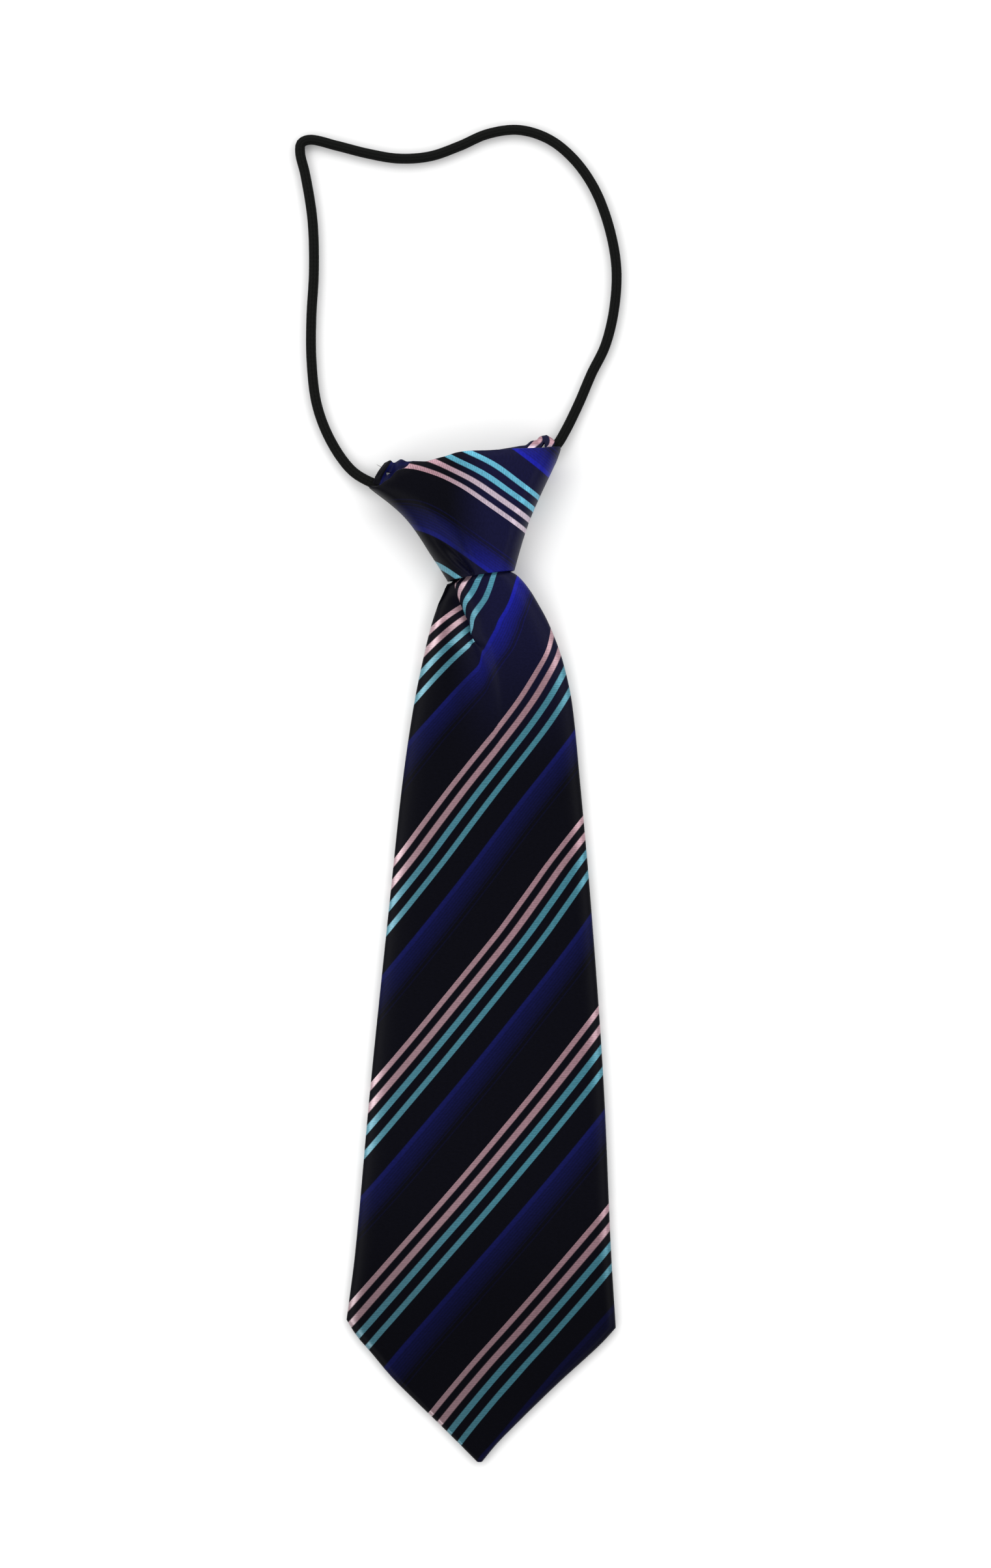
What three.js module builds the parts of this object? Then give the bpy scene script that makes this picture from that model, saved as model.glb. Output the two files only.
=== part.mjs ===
// A child's ready-made tie on a loop of round elastic, lying face up on a table. The striped satin
// blade is folded flat with its edges rolled to the back, the knot is a sleeve of the same cloth
// that grips the gathered neck of the blade, and a short neckband, folded double, carries the
// elastic across the mouth of the knot. Millimetres, +Z up, +Y from the point towards the knot.
import * as THREE from "three";

// Driving dimensions. The blade is 74 mm wide at its corners and 280 mm long with the knot.
const CLOTH = 1.0; // wall of satin and its backing, in the knot and the neckband
const CLEAR = 0.35; // clearance between pieces that touch
const CORD_R = 1.4; // round elastic, 2.8 mm across
const CORD_SIDES = 8;
const CORD_STEPS = 80;
const ACROSS = 20; // facets across the front of a section
const SECTIONS_PER_ROW = 3; // sections lofted between two rows of a table

// The blade's edges, the seam on its back and the crease on its front.
const BLADE_EDGE = 0.42; // share of the blade's thickness at which its edge is widest
const UNDER_ROLL = 1.6; // width of the rounding below the edge
const UNDER_TURN = 0.3; // share of that width at which the rounding has its middle point
const SEAM_HALF = 0.9; // half width of the groove where the two back flaps meet
const SEAM_DEEP = 0.6;
const NARROWEST = 6; // near the point both are at most the width divided by this
const CREASE_STEEP = 2.2; // width of the crease's steep side, under the overlapping fold
const CREASE_GENTLE = 6.5; // width of its gentle side
const POINT_SECTIONS = 8;

// The knot's side folds, and how far its mouth is cut back behind the front edge. The sides are
// cut back so that the elastic can leave at the corners.
const KNOT_EDGE = 0.3; // share of the knot's height at which its side folds turn
const UNDER_FOLD = 3; // width over which the back falls from a side fold to the table
const LEFT_CUT = 4.2;
const RIGHT_CUT = 3.0;
const BACK_CUT = 5.5;
const CORNER = 0.012; // share of the width in which the front edge climbs over a cut side

// The neckband's section, measured from the elastic towards its folded top edge.
const BAND_FLAT = 1.2; // how far its two layers run on past the elastic before they close
const BAND_CLOSE = 0.62; // share of the reach at which the layers have come half together
const BAND_NOSE = 0.5; // length of the rounded top edge

const NAVY_SATIN = new THREE.MeshStandardMaterial({ color: 0x14141f, roughness: 0.42, metalness: 0.1 });
const BLACK_KNIT = new THREE.MeshStandardMaterial({ color: 0x0d0e0d, roughness: 0.9, metalness: 0 });

// The blade from its two corners up into the knot, a row for each section. y is the height of the
// section's middle in plan and tilt is how much higher its right end is than its left. left and
// right are its folded edges, back and front its heights above the table, and rollL and rollR how
// far each edge curves in.
const BLADE = [
  { y: -103.8, left: -37.2, right: 37.2, tilt: -2.2, back: 0, front: 3.2, rollL: 4, rollR: 3 },
  { y: -84.0, left: -34.8, right: 35.9, tilt: 0, back: 0, front: 3.6, rollL: 6, rollR: 4 },
  { y: -40.4, left: -30.7, right: 33.8, tilt: 0, back: 0, front: 3.9, rollL: 8, rollR: 5 },
  { y: 13.6, left: -25.2, right: 30.0, tilt: 0, back: 0, front: 4.0, rollL: 9, rollR: 5 },
  { y: 46.0, left: -21.6, right: 27.0, tilt: 0, back: 0, front: 4.2, rollL: 9, rollR: 6 },
  { y: 67.6, left: -18.4, right: 24.8, tilt: 0, back: 0, front: 4.8, rollL: 9, rollR: 8 },
  { y: 79.0, left: -16.2, right: 22.3, tilt: 0, back: 0, front: 5.8, rollL: 9, rollR: 9 },
  { y: 89.0, left: -13.8, right: 18.9, tilt: 0, back: 0.1, front: 7.2, rollL: 8, rollR: 9 },
  { y: 94.2, left: -12.1, right: 16.2, tilt: 0, back: 0.4, front: 8.1, rollL: 7, rollR: 8 },
  { y: 98.2, left: -10.6, right: 13.4, tilt: 1.2, back: 0.7, front: 8.6, rollL: 6, rollR: 7 },
  { y: 101.7, left: -9.4, right: 9.4, tilt: 3.0, back: 1.1, front: 8.6, rollL: 5, rollR: 5 },
  { y: 102.6, left: -7.7, right: 7.7, tilt: 3.0, back: 1.4, front: 8.3, rollL: 4, rollR: 4 },
  { y: 108.8, left: -7.4, right: 7.2, tilt: 2.7, back: 2.2, front: 8.0, rollL: 3, rollR: 3 },
  { y: 115.5, left: -6.8, right: 6.0, tilt: 3.0, back: 3.0, front: 7.4, rollL: 3, rollR: 3 },
];
// The blunt end of the pressed point below the corners, in the same columns.
const POINT = { y: -141.9, left: -1.1, right: 0.5, tilt: 0, back: 0, front: 2.4, rollL: 0.8, rollR: 0.8 };

// The crease where the left fold runs under the right one, from where it fades up into the knot.
const CREASE = [
  { y: 55.0, x: 5.0, deep: 0 },
  { y: 67.6, x: 4.2, deep: 0.6 },
  { y: 79.0, x: 1.6, deep: 1.8 },
  { y: 89.0, x: -3.3, deep: 3.2 },
  { y: 94.2, x: -4.7, deep: 3.8 },
  { y: 98.2, x: -5.2, deep: 3.8 },
  { y: 101.7, x: -5.2, deep: 3.2 },
  { y: 108.8, x: -2.0, deep: 1.2 },
  { y: 115.5, x: -1.0, deep: 0.6 },
];

// The knot from its narrow foot to its open mouth, in the same columns, with its front edge
// rolled over at the mouth. crown is how far the front's middle runs ahead of the corners.
const KNOT = [
  { y: 102.6, left: -9.2, right: 9.2, tilt: 3.0, back: 0, front: 9.7, rollL: 5, rollR: 5, crown: 0.3 },
  { y: 106.2, left: -11.4, right: 10.2, tilt: 3.2, back: 0, front: 10.8, rollL: 6, rollR: 5, crown: 0.4 },
  { y: 110.9, left: -14.4, right: 11.7, tilt: 3.4, back: 0, front: 11.6, rollL: 7, rollR: 5, crown: 0.6 },
  { y: 116.2, left: -17.6, right: 13.9, tilt: 4.0, back: 0, front: 12.2, rollL: 8, rollR: 6, crown: 1.0 },
  { y: 121.3, left: -21.0, right: 16.3, tilt: 5.4, back: 0, front: 12.4, rollL: 9, rollR: 6, crown: 1.7 },
  { y: 126.7, left: -25.6, right: 19.2, tilt: 7.8, back: 0, front: 12.3, rollL: 10, rollR: 6, crown: 2.3 },
  { y: 131.2, left: -30.2, right: 21.8, tilt: 10.2, back: 0, front: 11.9, rollL: 10, rollR: 6, crown: 2.9 },
  { y: 132.9, left: -32.0, right: 22.8, tilt: 11.1, back: 0, front: 10.9, rollL: 10, rollR: 6, crown: 3.1 },
];

// The neckband across the mouth, folded over the elastic, a row for each section. y and z place
// the elastic in the fold, foldX and foldY the band's folded top edge, and legs is how far both
// layers run on below the elastic.
const NECKBAND = [
  { x: -29.9, y: 128.3, z: 2.8, foldX: -26.4, foldY: 134.2, legs: 0.2 },
  { x: -26.3, y: 127.2, z: 3.3, foldX: -23.6, foldY: 134.5, legs: 0.6 },
  { x: -21.0, y: 126.7, z: 4.1, foldX: -20.0, foldY: 134.4, legs: 2.0 },
  { x: -12.0, y: 127.6, z: 4.2, foldX: -13.0, foldY: 134.2, legs: 3.0 },
  { x: -2.0, y: 130.3, z: 4.2, foldX: -3.5, foldY: 136.0, legs: 3.0 },
  { x: 8.0, y: 133.0, z: 4.2, foldX: 6.0, foldY: 138.0, legs: 3.0 },
  { x: 14.0, y: 134.6, z: 4.0, foldX: 11.8, foldY: 139.4, legs: 2.0 },
  { x: 17.8, y: 136.3, z: 3.2, foldX: 15.4, foldY: 141.2, legs: 0.6 },
  { x: 19.8, y: 138.0, z: 2.8, foldX: 17.6, foldY: 141.9, legs: 0.2 },
];

// The elastic's route in plan and height, from one butted end in the neckband, out at the left
// corner of the knot, round the neck loop and back in at the right corner to the other end.
const ELASTIC = [
  [-4.5, 129.6, 4.2],
  [-12.0, 127.6, 4.2],
  [-21.0, 126.7, 4.1],
  [-25.4, 127.0, 3.5],
  [-28.4, 127.8, 2.9],
  [-31.4, 129.0, 2.3],
  [-35.2, 131.4, 1.6],
  [-38.7, 135.4, 1.45],
  [-42.8, 142.6, 1.45],
  [-45.6, 151.0, 1.45],
  [-46.9, 163.0, 1.45],
  [-46.9, 174.0, 1.45],
  [-46.2, 187.0, 1.45],
  [-46.6, 201.0, 1.45],
  [-48.6, 213.6, 1.45],
  [-50.0, 219.6, 1.45],
  [-49.7, 222.2, 1.45],
  [-47.4, 223.2, 1.45],
  [-39.7, 221.5, 1.45],
  [-31.4, 219.4, 1.45],
  [-22.8, 218.0, 1.45],
  [-14.2, 218.6, 1.45],
  [-6.1, 221.4, 1.45],
  [1.8, 224.8, 1.45],
  [10.4, 225.9, 1.45],
  [18.6, 223.4, 1.45],
  [25.4, 218.0, 1.45],
  [31.0, 210.2, 1.45],
  [35.0, 200.2, 1.45],
  [37.3, 188.4, 1.45],
  [36.8, 177.0, 1.45],
  [34.3, 166.4, 1.45],
  [30.5, 158.6, 1.45],
  [27.0, 150.4, 1.45],
  [23.4, 143.0, 1.6],
  [20.9, 138.9, 2.4],
  [17.8, 136.3, 3.2],
  [14.0, 134.6, 4.0],
  [8.0, 133.0, 4.2],
  [-1.5, 130.4, 4.2],
];

// The slope of a column at row i: level at a peak, and otherwise the harmonic mean of both sides.
function slopeAt(table, axis, key, i) {
  const rise = (j) => (table[j + 1][key] - table[j][key]) / (table[j + 1][axis] - table[j][axis]);
  if (i === 0) return rise(0);
  if (i === table.length - 1) return rise(i - 1);
  const [a, b] = [rise(i - 1), rise(i)];
  return a * b > 0 ? (2 * a * b) / (a + b) : 0;
}

// Every column of a table where its axis column has the value at, on curves that never overshoot.
// Past either end of the table its last row holds.
function rowAt(table, axis, at) {
  const found = table.findLastIndex((row) => row[axis] <= at);
  const i = THREE.MathUtils.clamp(found, 0, table.length - 2);
  const span = table[i + 1][axis] - table[i][axis];
  const f = THREE.MathUtils.clamp((at - table[i][axis]) / span, 0, 1);
  const row = {};
  for (const key of Object.keys(table[i])) {
    const leave = slopeAt(table, axis, key, i) * span;
    const arrive = slopeAt(table, axis, key, i + 1) * span;
    const from = (1 + 2 * f) * table[i][key] + f * leave;
    const to = (3 - 2 * f) * table[i + 1][key] - (1 - f) * arrive;
    row[key] = (1 - f) ** 2 * from + f ** 2 * to;
  }
  return row;
}

// Where the sections of a table lie, a few for each of its rows.
function stationsOf(table, axis) {
  const stations = [table[0][axis]];
  for (let i = 0; i < table.length - 1; i++) {
    for (let k = 1; k <= SECTIONS_PER_ROW; k++) {
      const f = k / SECTIONS_PER_ROW;
      stations.push(THREE.MathUtils.lerp(table[i][axis], table[i + 1][axis], f));
    }
  }
  return stations;
}

// A closed body from its points and faces, turned so that the faces look outwards.
function closedBody(points, faces) {
  const volume = faces.reduce((sum, [a, b, c]) => {
    const normal = new THREE.Vector3().crossVectors(points[b], points[c]);
    return sum + points[a].dot(normal);
  }, 0);
  const geometry = new THREE.BufferGeometry().setFromPoints(points);
  geometry.setIndex(faces.flatMap(([a, b, c]) => (volume < 0 ? [a, c, b] : [a, b, c])));
  geometry.computeVertexNormals();
  return geometry;
}

// Joins each ring of points to the next, where first is the number of the first ring's first point.
function skinFaces(ringCount, ringSize, first = 0) {
  const faces = [];
  for (let r = 0; r < ringCount - 1; r++) {
    for (let i = 0; i < ringSize; i++) {
      const j = (i + 1) % ringSize;
      const [a, b] = [first + r * ringSize + i, first + r * ringSize + j];
      faces.push([a, b, b + ringSize], [a, b + ringSize, a + ringSize]);
    }
  }
  return faces;
}

// The faces that close one end of a solid loft, whose outline may be hollowed like a U.
function endFaces(flatRing, first, reversed) {
  return THREE.ShapeUtils.triangulateShape(flatRing, []).map(([a, b, c]) =>
    reversed ? [first + a, first + c, first + b] : [first + a, first + b, first + c],
  );
}

// A solid loft through rings that all hold the same number of points. A flat ring is the same
// section seen square on.
function loftSolid(rings, flatRings) {
  const size = rings[0].length;
  const last = (rings.length - 1) * size;
  const clockwise = THREE.ShapeUtils.isClockWise(flatRings[0]);
  const faces = [
    ...skinFaces(rings.length, size),
    ...endFaces(flatRings[0], 0, !clockwise),
    ...endFaces(flatRings.at(-1), last, clockwise),
  ];
  return closedBody(rings.flat(), faces);
}

// A sleeve between an outer and an inner loft whose rings match point for point.
function loftSleeve(outer, inner) {
  const size = outer[0].length;
  const hollow = outer.length * size;
  const faces = skinFaces(outer.length, size);
  for (const [a, b, c] of skinFaces(inner.length, size, hollow)) faces.push([a, c, b]);
  for (let i = 0; i < size; i++) {
    const j = (i + 1) % size;
    const [m, n] = [hollow - size + i, hollow - size + j];
    faces.push([i, hollow + i, hollow + j], [i, hollow + j, j]);
    faces.push([m, n, hollow + n], [m, hollow + n, hollow + m]);
  }
  return closedBody([...outer.flat(), ...inner.flat()], faces);
}

// How much of a section's height is reached at a distance from a rolled edge: a quarter ellipse.
function rolled(distance, roll) {
  const left = 1 - Math.min(distance / roll, 1);
  return Math.sqrt(Math.max(0, 1 - left * left));
}

// Shares of the width at which a section has points, closer together towards its edges.
function shares(count) {
  return Array.from({ length: count + 1 }, (_, i) => (1 - Math.cos((Math.PI * i) / count)) / 2);
}

// A point of a section at a share of its width, at height z, and ahead of the straight section.
function sectionPoint(row, share, z, ahead = 0) {
  const x = THREE.MathUtils.lerp(row.left, row.right, share);
  return new THREE.Vector3(x, row.y + (share - 0.5) * row.tilt + ahead, z);
}

// The crease's depth at a distance to the right of its bottom. Its left side falls gently and its
// right side steeply.
function creaseDepth(crease, off) {
  const width = off > 0 ? CREASE_STEEP : CREASE_GENTLE;
  return crease.deep * Math.exp(-((off / width) ** 2));
}

// One section of the blade: across the front from left to right, with a point at the bottom of the
// crease, then back under the seam.
function bladeRing(row) {
  const width = Math.hypot(row.right - row.left, row.tilt);
  const edge = row.back + (row.front - row.back) * BLADE_EDGE;
  const fit = Math.min(1, width / (row.rollL + row.rollR));
  const crease = rowAt(CREASE, "y", row.y);
  const fold = (Math.min(crease.x, row.right / 2) - row.left) / (row.right - row.left);
  const half = shares(ACROSS / 2);
  const across = [...half.map((s) => s * fold), ...half.slice(1).map((s) => fold + s * (1 - fold))];
  const front = across.map((s) => {
    const rise = rolled(s * width, row.rollL * fit) * rolled((1 - s) * width, row.rollR * fit);
    const depth = creaseDepth(crease, (s - fold) * (row.right - row.left));
    return sectionPoint(row, s, edge + (row.front - edge - depth) * rise);
  });
  const under = Math.min(UNDER_ROLL, width / NARROWEST);
  const turns = [under * UNDER_TURN, under].map((d) => ({
    share: d / width,
    z: edge - (edge - row.back) * rolled(d, under),
  }));
  const seam = Math.min(SEAM_HALF, width / NARROWEST / 2) / width;
  const seamTop = row.back + Math.min(SEAM_DEEP, width / NARROWEST);
  const back = [
    ...turns.map((turn) => sectionPoint(row, 1 - turn.share, turn.z)),
    sectionPoint(row, 0.5 + seam, row.back),
    sectionPoint(row, 0.5, seamTop),
    sectionPoint(row, 0.5 - seam, row.back),
    ...turns.toReversed().map((turn) => sectionPoint(row, turn.share, turn.z)),
  ];
  return [...front, ...back];
}

function blade() {
  const corners = BLADE[0];
  const tip = [];
  for (let i = POINT_SECTIONS; i > 0; i--) {
    const row = {};
    for (const key of Object.keys(corners)) {
      row[key] = THREE.MathUtils.lerp(corners[key], POINT[key], i / POINT_SECTIONS);
    }
    tip.push(row);
  }
  const rows = [...tip, ...stationsOf(BLADE, "y").map((y) => rowAt(BLADE, "y", y))];
  const rings = rows.map(bladeRing);
  const flat = rings.map((ring) => ring.map((p) => new THREE.Vector2(p.x, p.z)));
  return loftSolid(rings, flat);
}

// How far the knot's mouth is cut back at a share of the width, on the front or behind it.
function mouthCut(share, behind) {
  const side = share < 0.5 ? LEFT_CUT : RIGHT_CUT;
  if (behind) return side + (BACK_CUT - side) * Math.sin(Math.PI * share);
  const climb = Math.min(share, 1 - share) / CORNER;
  return side * Math.max(0, 1 - climb) ** 2;
}

// One ring of the knot at a part of the way from its foot to its mouth, drawn in by inset for the
// inner face of its wall.
function knotRing(part, inset) {
  const foot = KNOT[0].y;
  const mouth = KNOT.at(-1).y;
  const point = (share, behind) => {
    const row = rowAt(KNOT, "y", foot + part * (mouth - mouthCut(share, behind) - foot));
    const width = Math.hypot(row.right - row.left, row.tilt);
    const clear = width - 2 * inset;
    const edge = row.back + (row.front - row.back) * KNOT_EDGE;
    const [fromLeft, fromRight] = [share * clear, (1 - share) * clear];
    const rise = behind
      ? rolled(fromLeft, UNDER_FOLD) * rolled(fromRight, UNDER_FOLD)
      : rolled(fromLeft, row.rollL - inset) * rolled(fromRight, row.rollR - inset);
    const level = behind ? row.back + inset : row.front - inset;
    const ahead = behind ? 0 : row.crown * Math.sin(Math.PI * share);
    return sectionPoint(row, (inset + fromLeft) / width, edge + (level - edge) * rise, ahead);
  };
  const front = shares(ACROSS).map((s) => point(s, false));
  const back = shares(ACROSS / 2).slice(1, -1).toReversed().map((s) => point(s, true));
  return [...front, ...back];
}

function knot() {
  const stations = stationsOf(KNOT, "y");
  const parts = stations.map((y) => (y - stations[0]) / (stations.at(-1) - stations[0]));
  return loftSleeve(
    parts.map((part) => knotRing(part, 0)),
    parts.map((part) => knotRing(part, CLOTH)),
  );
}

// One section of the neckband: a U of two layers, closed by the fold and open below the elastic.
function neckbandRing(row) {
  const reach = Math.hypot(row.foldX - row.x, row.foldY - row.y);
  const hollow = CORD_R + CLEAR;
  const [aheadX, aheadY] = [(row.foldX - row.x) / reach, (row.foldY - row.y) / reach];
  const outside = [
    [-row.legs, hollow + CLOTH],
    [BAND_FLAT, hollow + CLOTH],
    [reach * BAND_CLOSE, hollow / 2 + CLOTH],
    [reach - BAND_NOSE, CLOTH],
  ];
  const inside = [
    [reach * BAND_CLOSE, hollow / 2],
    [BAND_FLAT, hollow],
    [-row.legs, hollow],
  ];
  const mirrored = (list) => list.toReversed().map(([a, z]) => [a, -z]);
  const outline = [
    ...outside,
    [reach, 0],
    ...mirrored(outside),
    ...mirrored(inside),
    [reach - BAND_NOSE - CLOTH / 2, 0],
    ...inside,
  ];
  return {
    ring: outline.map(([a, z]) => new THREE.Vector3(row.x + a * aheadX, row.y + a * aheadY, row.z + z)),
    flat: outline.map(([a, z]) => new THREE.Vector2(a, z)),
  };
}

function neckband() {
  const sections = stationsOf(NECKBAND, "x").map((x) => neckbandRing(rowAt(NECKBAND, "x", x)));
  return loftSolid(
    sections.map((section) => section.ring),
    sections.map((section) => section.flat),
  );
}

function elasticCord() {
  const route = new THREE.CatmullRomCurve3(ELASTIC.map((p) => new THREE.Vector3(...p)));
  const corner = (i) => (2 * Math.PI * (i + 0.5)) / CORD_SIDES;
  const section = new THREE.Shape(
    Array.from(
      { length: CORD_SIDES },
      (_, i) => new THREE.Vector2(CORD_R * Math.cos(corner(i)), CORD_R * Math.sin(corner(i))),
    ),
  );
  return new THREE.ExtrudeGeometry(section, {
    steps: CORD_STEPS,
    bevelEnabled: false,
    extrudePath: route,
  });
}

function piece(name, geometry, material) {
  const mesh = new THREE.Mesh(geometry, material);
  mesh.name = name;
  return mesh;
}

const tie = new THREE.Group();
tie.add(
  piece("blade", blade(), NAVY_SATIN),
  piece("knot", knot(), NAVY_SATIN),
  piece("neckband", neckband(), NAVY_SATIN),
  piece("elastic_cord", elasticCord(), BLACK_KNIT),
);

export default tie;
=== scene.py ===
import math

import bmesh
import bpy
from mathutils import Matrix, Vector


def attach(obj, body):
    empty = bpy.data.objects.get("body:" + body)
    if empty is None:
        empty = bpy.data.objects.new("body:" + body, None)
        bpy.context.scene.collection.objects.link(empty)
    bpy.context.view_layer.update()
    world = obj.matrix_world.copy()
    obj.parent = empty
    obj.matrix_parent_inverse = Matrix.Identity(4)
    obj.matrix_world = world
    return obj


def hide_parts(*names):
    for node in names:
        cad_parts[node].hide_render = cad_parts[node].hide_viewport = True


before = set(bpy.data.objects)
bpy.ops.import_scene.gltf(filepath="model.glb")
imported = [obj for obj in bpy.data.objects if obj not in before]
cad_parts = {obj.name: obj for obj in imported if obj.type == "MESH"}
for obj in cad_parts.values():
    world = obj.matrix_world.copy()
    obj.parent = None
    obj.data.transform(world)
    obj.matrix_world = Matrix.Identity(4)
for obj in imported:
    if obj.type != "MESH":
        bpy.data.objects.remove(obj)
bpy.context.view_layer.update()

# The camera looks straight down on the table from a copy stand, with the neck loop at the top of the
# picture. Its long lens keeps the knot, which stands 12 mm high, from leaning out of its outline.
PHOTO_SIZE = (1522, 2408)
PIXEL = 0.00018  # metres of table in one pixel of the photo
ORIGIN_PIXEL = (739, 1455.5)  # where the part's origin lies in the photo
SENSOR = 36.0  # millimetres, along the photo's long side
LENS = 135.0
FARTHEST = 20  # metres, well past the table

scene = bpy.context.scene
camera_data = bpy.data.cameras.new("copy_stand_camera")
camera_data.sensor_width = SENSOR
camera_data.lens = LENS
camera_data.clip_end = FARTHEST
camera = bpy.data.objects.new("copy_stand_camera", camera_data)
camera.location = (
    (PHOTO_SIZE[0] / 2 - ORIGIN_PIXEL[0]) * PIXEL,
    (ORIGIN_PIXEL[1] - PHOTO_SIZE[1] / 2) * PIXEL,
    PHOTO_SIZE[1] * PIXEL * LENS / SENSOR,
)
scene.collection.objects.link(camera)
scene.camera = camera

# The elastic is a round rubber core in a knitted cover of black polyester. It is one loop, laid on
# the table, and its two ends are joined inside the neckband.
CORD_DIAMETER = 0.0028
CORD_STEP = 0.0008  # distance between the points of the tube
STITCH_COLUMNS = 10  # columns of stitches round the cover
STITCH_PITCH = 0.0012  # a real stitch is about 0.5 mm long and would not show
STITCH_LEAN = 2.4  # radians that a stitch runs ahead from the edge of its column to the middle
STITCH_DEPTH = 0.35  # depth of the stitches, as a share of the columns'
KNIT_RELIEF = 0.00018  # depth of the columns
KNIT_STRENGTH = 0.7
KNIT_ROUGHNESS = 0.9
KNIT_SPECULAR = 0.1
COVER_YARN = "#0b0c0b"
# The grooves between the stitch columns are drawn darker: painted shade.
COVER_GROOVE_SHADE = "#040504"
ON_TABLE = 0.00145  # height of the cord's middle where its route gives none, because it lies flat
CORD_ROUTE = [
    (-0.0045, 0.1296, 0.0042),
    (-0.0120, 0.1276, 0.0042),
    (-0.0210, 0.1267, 0.0041),
    (-0.0254, 0.1270, 0.0035),
    (-0.0284, 0.1278, 0.0029),
    (-0.0314, 0.1290, 0.0023),
    (-0.0352, 0.1314, 0.0016),
    (-0.0387, 0.1354),
    (-0.0428, 0.1426),
    (-0.0456, 0.1510),
    (-0.0469, 0.1630),
    (-0.0469, 0.1740),
    (-0.0462, 0.1870),
    (-0.0466, 0.2010),
    (-0.0486, 0.2136),
    (-0.0500, 0.2196),
    (-0.0497, 0.2222),
    (-0.0474, 0.2232),
    (-0.0397, 0.2215),
    (-0.0314, 0.2194),
    (-0.0228, 0.2180),
    (-0.0142, 0.2186),
    (-0.0061, 0.2214),
    (0.0018, 0.2248),
    (0.0104, 0.2259),
    (0.0186, 0.2234),
    (0.0254, 0.2180),
    (0.0310, 0.2102),
    (0.0350, 0.2002),
    (0.0373, 0.1884),
    (0.0368, 0.1770),
    (0.0343, 0.1664),
    (0.0305, 0.1586),
    (0.0270, 0.1504),
    (0.0234, 0.1430, 0.0016),
    (0.0209, 0.1389, 0.0024),
    (0.0178, 0.1363, 0.0032),
    (0.0140, 0.1346, 0.0040),
    (0.0080, 0.1330, 0.0042),
    (-0.0015, 0.1304, 0.0042),
]


def mixed(a, b, at_a, at_b, at):
    """The point on the line through a and b that belongs to the value at."""
    return [(x * (at_b - at) + y * (at - at_a)) / (at_b - at_a) for x, y in zip(a, b)]


def catmull_rom(p0, p1, p2, p3, part):
    """A point between p1 and p2 on the centripetal Catmull-Rom curve through all four."""
    t0 = 0
    t1 = t0 + math.sqrt(math.dist(p0, p1))
    t2 = t1 + math.sqrt(math.dist(p1, p2))
    t3 = t2 + math.sqrt(math.dist(p2, p3))
    t = t1 + (t2 - t1) * part
    a1 = mixed(p0, p1, t0, t1, t)
    a2 = mixed(p1, p2, t1, t2, t)
    a3 = mixed(p2, p3, t2, t3, t)
    b1 = mixed(a1, a2, t0, t2, t)
    b2 = mixed(a2, a3, t1, t3, t)
    return mixed(b1, b2, t1, t2, t)


def even_route(route, step, samples=24):
    """Points a step apart along the smooth curve through the route."""
    before = [2 * a - b for a, b in zip(route[0], route[1])]
    after = [2 * a - b for a, b in zip(route[-1], route[-2])]
    chain = [before, *route, after]
    fine = [
        catmull_rom(*chain[i : i + 4], k / samples)
        for i in range(len(chain) - 3)
        for k in range(samples)
    ]
    fine.append(list(route[-1]))
    gone = [0.0]
    for a, b in zip(fine, fine[1:]):
        gone.append(gone[-1] + math.dist(a, b))
    count = round(gone[-1] / step)
    even, i = [], 0
    for k in range(count + 1):
        at = gone[-1] * k / count
        while i < len(gone) - 2 and gone[i + 1] < at:
            i += 1
        even.append(mixed(fine[i], fine[i + 1], gone[i], gone[i + 1], at))
    return even, gone[-1]


def linear(hex_colour):
    """The linear colour of an sRGB hex value."""
    channels = [int(hex_colour[i : i + 2], 16) / 255 for i in (1, 3, 5)]
    return (*[c / 12.92 if c <= 0.04045 else ((c + 0.055) / 1.055) ** 2.4 for c in channels], 1)


def add_node(tree, kind, settings=None, links=None):
    """Adds a node. A setting is a property or an input of it, and a link feeds an input from another
    node's first output or from the socket given. Inputs go by name or by number."""
    node = tree.nodes.new(kind)
    for key, value in (settings or {}).items():
        if isinstance(key, int) or key in node.inputs:
            node.inputs[key].default_value = value
        else:
            setattr(node, key, value)
    for key, source in (links or {}).items():
        socket = source.outputs[0] if hasattr(source, "outputs") else source
        tree.links.new(socket, node.inputs[key])
    return node


def new_material(name, settings):
    """A node material, its tree, and the shader that its surface shows, with the settings given."""
    material = bpy.data.materials.new(name)
    material.use_nodes = True
    tree = material.node_tree
    tree.nodes.clear()
    shader = add_node(tree, "ShaderNodeBsdfPrincipled", settings)
    add_node(tree, "ShaderNodeOutputMaterial", links={"Surface": shader})
    return material, tree, shader


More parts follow.
